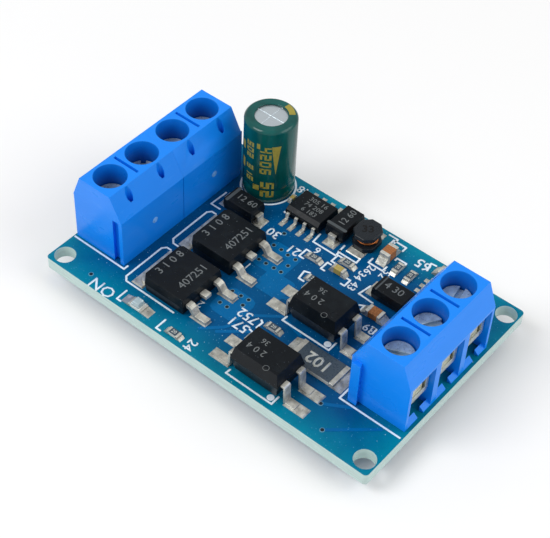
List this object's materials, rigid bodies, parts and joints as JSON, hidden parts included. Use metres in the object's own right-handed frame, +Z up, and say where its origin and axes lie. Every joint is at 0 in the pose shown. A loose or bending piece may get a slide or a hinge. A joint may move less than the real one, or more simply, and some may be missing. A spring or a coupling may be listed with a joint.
{
  "type": "mosfet switch module",
  "caption": "Small blue circuit board that switches loads: power transistors, optocouplers, a regulator and a capacitor between two rows of blue screw terminals.",
  "frame": {"origin": "centre of the four mounting holes, on the underside of the board", "axes": "+Z up through the board, +X along the board from the power terminals to the signal terminals, +Y across it towards the capacitor"},
  "size_m": [0.0458, 0.0294, 0.0146],
  "materials": {
    "solder_mask_blue": "gloss",
    "tinned_metal": "satin",
    "terminal_blue": "gloss",
    "screw_steel": "satin",
    "clamp_metal": "satin",
    "package_black": "matte",
    "ferrite_grey": "matte",
    "winding_copper": "gloss",
    "bare_aluminium": "satin",
    "sleeve_green": "gloss",
    "seal_rubber": "matte",
    "resistor_black": "gloss",
    "ceramic_tan": "matte",
    "led_white": "matte",
    "led_clear": "gloss"
  },
  "bodies": {
    "module": {"circuit_board": "solder_mask_blue", "solder_joints": "tinned_metal", "power_terminal_housing_1": "terminal_blue", "power_terminal_housing_2": "terminal_blue", "signal_terminal_housing": "terminal_blue", "power_contact_1": "tinned_metal", "power_contact_2": "tinned_metal", "power_contact_3": "tinned_metal", "power_contact_4": "tinned_metal", "signal_contact_1": "tinned_metal", "signal_contact_2": "tinned_metal", "signal_contact_3": "tinned_metal", "mosfet_1_body": "package_black", "mosfet_1_lead_frame": "tinned_metal", "mosfet_2_body": "package_black", "mosfet_2_lead_frame": "tinned_metal", "diode_1_body": "package_black", "diode_1_leads": "tinned_metal", "diode_2_body": "package_black", "diode_2_leads": "tinned_metal", "diode_3_body": "package_black", "diode_3_leads": "tinned_metal", "optocoupler_1_body": "package_black", "optocoupler_1_leads": "tinned_metal", "optocoupler_2_body": "package_black", "optocoupler_2_leads": "tinned_metal", "regulator_body": "package_black", "regulator_leads": "tinned_metal", "six_pin_chip_body": "package_black", "six_pin_chip_leads": "tinned_metal", "inductor_core": "ferrite_grey", "inductor_winding": "winding_copper", "inductor_feet": "tinned_metal", "capacitor_can": "bare_aluminium", "capacitor_sleeve": "sleeve_green", "capacitor_seal": "seal_rubber", "capacitor_leads": "tinned_metal", "small_resistor_bodies": "resistor_black", "small_resistor_ends": "tinned_metal", "ceramic_capacitor_bodies": "ceramic_tan", "ceramic_capacitor_ends": "tinned_metal", "power_resistor_body": "resistor_black", "power_resistor_ends": "tinned_metal", "led_base_body": "led_white", "led_ends": "tinned_metal", "led_lens": "led_clear"},
    "power_screw_1": {"power_screw_1": "screw_steel"},
    "power_clamp_1": {"power_clamp_1": "clamp_metal"},
    "power_screw_2": {"power_screw_2": "screw_steel"},
    "power_clamp_2": {"power_clamp_2": "clamp_metal"},
    "power_screw_3": {"power_screw_3": "screw_steel"},
    "power_clamp_3": {"power_clamp_3": "clamp_metal"},
    "power_screw_4": {"power_screw_4": "screw_steel"},
    "power_clamp_4": {"power_clamp_4": "clamp_metal"},
    "signal_screw_1": {"signal_screw_1": "screw_steel"},
    "signal_clamp_1": {"signal_clamp_1": "clamp_metal"},
    "signal_screw_2": {"signal_screw_2": "screw_steel"},
    "signal_clamp_2": {"signal_clamp_2": "clamp_metal"},
    "signal_screw_3": {"signal_screw_3": "screw_steel"},
    "signal_clamp_3": {"signal_clamp_3": "clamp_metal"}
  },
  "joints": [
    {"name": "power_screw_1_turn", "type": "hinge", "parent": "module", "child": "power_screw_1", "pos_m": [-0.01924, 0.0079, 0.009], "axis": [0, 0, 1], "range_deg": [0, 1080.1]},
    {"name": "power_clamp_1_rise", "type": "slide", "parent": "module", "child": "power_clamp_1", "axis": [0, 0, 1], "range_m": [-0.0015, 0]},
    {"name": "power_screw_2_turn", "type": "hinge", "parent": "module", "child": "power_screw_2", "pos_m": [-0.01924, 0.00282, 0.009], "axis": [0, 0, 1], "range_deg": [0, 1080.1]},
    {"name": "power_clamp_2_rise", "type": "slide", "parent": "module", "child": "power_clamp_2", "axis": [0, 0, 1], "range_m": [-0.0015, 0]},
    {"name": "power_screw_3_turn", "type": "hinge", "parent": "module", "child": "power_screw_3", "pos_m": [-0.01924, -0.00226, 0.009], "axis": [0, 0, 1], "range_deg": [0, 1080.1]},
    {"name": "power_clamp_3_rise", "type": "slide", "parent": "module", "child": "power_clamp_3", "axis": [0, 0, 1], "range_m": [-0.0015, 0]},
    {"name": "power_screw_4_turn", "type": "hinge", "parent": "module", "child": "power_screw_4", "pos_m": [-0.01924, -0.00734, 0.009], "axis": [0, 0, 1], "range_deg": [0, 1080.1]},
    {"name": "power_clamp_4_rise", "type": "slide", "parent": "module", "child": "power_clamp_4", "axis": [0, 0, 1], "range_m": [-0.0015, 0]},
    {"name": "signal_screw_1_turn", "type": "hinge", "parent": "module", "child": "signal_screw_1", "pos_m": [0.01907, -0.00513, 0.009], "axis": [0, 0, 1], "range_deg": [0, 1080.1]},
    {"name": "signal_clamp_1_rise", "type": "slide", "parent": "module", "child": "signal_clamp_1", "axis": [0, 0, 1], "range_m": [-0.0015, 0]},
    {"name": "signal_screw_2_turn", "type": "hinge", "parent": "module", "child": "signal_screw_2", "pos_m": [0.01907, -0.00005, 0.009], "axis": [0, 0, 1], "range_deg": [0, 1080.1]},
    {"name": "signal_clamp_2_rise", "type": "slide", "parent": "module", "child": "signal_clamp_2", "axis": [0, 0, 1], "range_m": [-0.0015, 0]},
    {"name": "signal_screw_3_turn", "type": "hinge", "parent": "module", "child": "signal_screw_3", "pos_m": [0.01907, 0.00503, 0.009], "axis": [0, 0, 1], "range_deg": [0, 1080.1]},
    {"name": "signal_clamp_3_rise", "type": "slide", "parent": "module", "child": "signal_clamp_3", "axis": [0, 0, 1], "range_m": [-0.0015, 0]}
  ],
  "couplings": [
    {"joint": "power_screw_1_turn", "follows": "power_clamp_1_rise", "rad_per_m": -12566},
    {"joint": "power_screw_2_turn", "follows": "power_clamp_2_rise", "rad_per_m": -12566},
    {"joint": "power_screw_3_turn", "follows": "power_clamp_3_rise", "rad_per_m": -12566},
    {"joint": "power_screw_4_turn", "follows": "power_clamp_4_rise", "rad_per_m": -12566},
    {"joint": "signal_screw_1_turn", "follows": "signal_clamp_1_rise", "rad_per_m": -12566},
    {"joint": "signal_screw_2_turn", "follows": "signal_clamp_2_rise", "rad_per_m": -12566},
    {"joint": "signal_screw_3_turn", "follows": "signal_clamp_3_rise", "rad_per_m": -12566}
  ]
}
